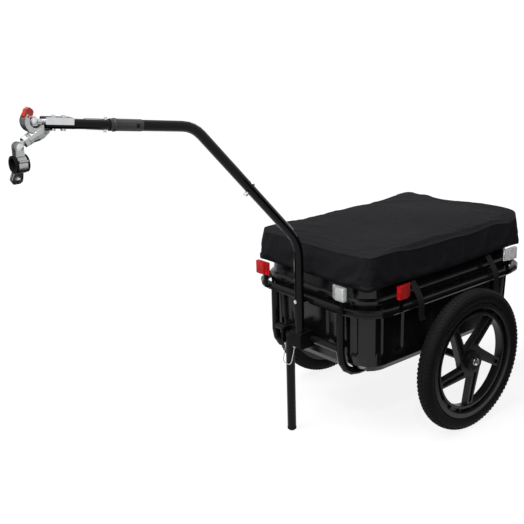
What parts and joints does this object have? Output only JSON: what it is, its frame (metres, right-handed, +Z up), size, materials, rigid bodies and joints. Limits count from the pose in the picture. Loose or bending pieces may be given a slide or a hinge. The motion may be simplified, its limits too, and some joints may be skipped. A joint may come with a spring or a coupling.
{
  "type": "bike cargo trailer",
  "caption": "Single-pole bicycle cargo trailer: tubular frame, spoked wheels, lift-out tub with fabric cover, fold-up park leg and a ball hitch with a post clamp.",
  "frame": {"origin": "middle of the bounding box, on the ground", "axes": "+Z up, -Y towards the hitch, +X the trailer's left side"},
  "size_m": [0.638, 1.4806, 0.9929],
  "materials": {
    "black_paint": "black powder coat, satin",
    "zinc": "zinc plated",
    "wheel_plastic": "moulded black nylon",
    "hub_plastic": "dark grey plastic",
    "tyre": "black rubber tyre",
    "tub_plastic": "moulded black polypropylene, satin",
    "block_plastic": "moulded black nylon, matt",
    "white_lens": "clear prism reflector",
    "red_lens": "red prism reflector",
    "red_plastic": "red moulded latch",
    "cover_fabric": "charcoal woven polyester",
    "webbing": "black webbing",
    "bush_rubber": "black rubber"
  },
  "bodies": {
    "frame": {"ring_rail": "black_paint", "hoop_left": "black_paint", "hoop_right": "black_paint", "cross_tube_front": "black_paint", "cross_tube_rear": "black_paint", "axle_tube": "black_paint", "spindle_left": "zinc", "spindle_right": "zinc", "drawbar_bracket": "block_plastic", "leg_bolt": "zinc", "drawbar_lower": "black_paint", "drawbar_upper": "black_paint", "drawbar_joint_bolt": "zinc", "drawbar_rail_bolt": "zinc", "drawbar_sleeve": "block_plastic", "sleeve_bolt": "black_paint", "reflector_front_left": "white_lens", "reflector_side_rear_left": "white_lens", "reflector_side_rear_right": "white_lens", "reflector_front_right": "red_lens", "reflector_rear_left": "red_lens", "reflector_rear_right": "red_lens", "reflector_side_front_left": "red_lens", "reflector_side_front_right": "red_lens", "strap_front_left": "webbing", "strap_rear_left": "webbing", "strap_front_right": "webbing", "strap_rear_right": "webbing"},
    "wheel_left": {"wheel_left": "wheel_plastic", "spokes_left": "wheel_plastic", "tyre_left": "tyre", "bearing_left": "zinc", "hub_cap_left": "hub_plastic"},
    "wheel_right": {"wheel_right": "wheel_plastic", "spokes_right": "wheel_plastic", "tyre_right": "tyre", "bearing_right": "zinc", "hub_cap_right": "hub_plastic"},
    "leg": {"leg_tube": "black_paint", "leg_foot": "bush_rubber", "leg_pin": "zinc"},
    "leg_bail": {"leg_pin_bail": "zinc"},
    "arm": {"hitch_arm": "black_paint", "arm_pin": "zinc", "hitch_channel": "zinc", "channel_bolt_1": "zinc", "channel_bolt_2": "zinc", "hitch_ball": "zinc"},
    "arm_bail": {"arm_pin_bail": "zinc"},
    "liner": {"socket_liner": "zinc"},
    "coupler": {"coupler_body": "zinc"},
    "latch": {"coupler_latch": "red_plastic"},
    "swivel": {"coupler_swivel": "zinc"},
    "clamp": {"clamp_yoke": "zinc", "yoke_bolt": "zinc", "clamp_bush": "bush_rubber"},
    "clamp_half": {"clamp_half": "zinc", "clamp_bolt": "zinc"},
    "tub": {"tub": "tub_plastic"},
    "cover": {"cover": "cover_fabric"}
  },
  "joints": [
    {"name": "wheel_spin_left", "type": "hinge", "parent": "frame", "child": "wheel_left", "pos_m": [0.287, 0.39804, 0.203], "axis": [1, 0, 0], "continuous": true},
    {"name": "wheel_spin_right", "type": "hinge", "parent": "frame", "child": "wheel_right", "pos_m": [-0.287, 0.39804, 0.203], "axis": [1, 0, 0], "continuous": true},
    {"name": "leg_fold", "type": "hinge", "parent": "frame", "child": "leg", "pos_m": [-0.04, 0.02603, 0.285], "axis": [-1, 0, 0], "range_deg": [0, 100]},
    {"name": "leg_bail_swing", "type": "hinge", "parent": "leg", "child": "leg_bail", "pos_m": [-0.04, 0.02603, 0.256], "axis": [-1, 0, 0], "range_deg": [0, 75]},
    {"name": "arm_pull_out", "type": "slide", "parent": "frame", "child": "arm", "axis": [0, -0.99, 0.1409], "range_m": [0, 0.08]},
    {"name": "arm_bail_swing", "type": "hinge", "parent": "arm", "child": "arm_bail", "pos_m": [0, -0.52064, 0.93583], "axis": [0, -0.1409, -0.99], "range_deg": [0, 120]},
    {"name": "hitch_yaw", "type": "hinge", "parent": "arm", "child": "liner", "pos_m": [0, -0.68593, 0.9639], "axis": [0, 0, 1], "range_deg": [-40, 40]},
    {"name": "hitch_pitch", "type": "hinge", "parent": "liner", "child": "coupler", "pos_m": [0, -0.68593, 0.9639], "axis": [-1, 0, 0], "range_deg": [0, 38]},
    {"name": "latch_open", "type": "hinge", "parent": "coupler", "child": "latch", "pos_m": [0, -0.70113, 0.9753], "axis": [1, 0, 0], "range_deg": [0, 60]},
    {"name": "hitch_swivel", "type": "hinge", "parent": "coupler", "child": "swivel", "pos_m": [0, -0.72533, 0.9163], "axis": [0, -0.9045, -0.4264], "range_deg": [-90, 90]},
    {"name": "clamp_swing", "type": "hinge", "parent": "swivel", "child": "clamp", "pos_m": [0, -0.72533, 0.9163], "axis": [1, 0, 0], "range_deg": [-60, 25]},
    {"name": "clamp_open", "type": "hinge", "parent": "clamp", "child": "clamp_half", "pos_m": [0.01973, -0.72533, 0.88848], "axis": [0, -1, 0], "range_deg": [0, 70]},
    {"name": "tub_lift", "type": "slide", "parent": "frame", "child": "tub", "axis": [0, 0, 1], "range_m": [0, 0.35]},
    {"name": "cover_lift", "type": "slide", "parent": "tub", "child": "cover", "axis": [0, 0, 1], "range_m": [0, 0.25]}
  ]
}
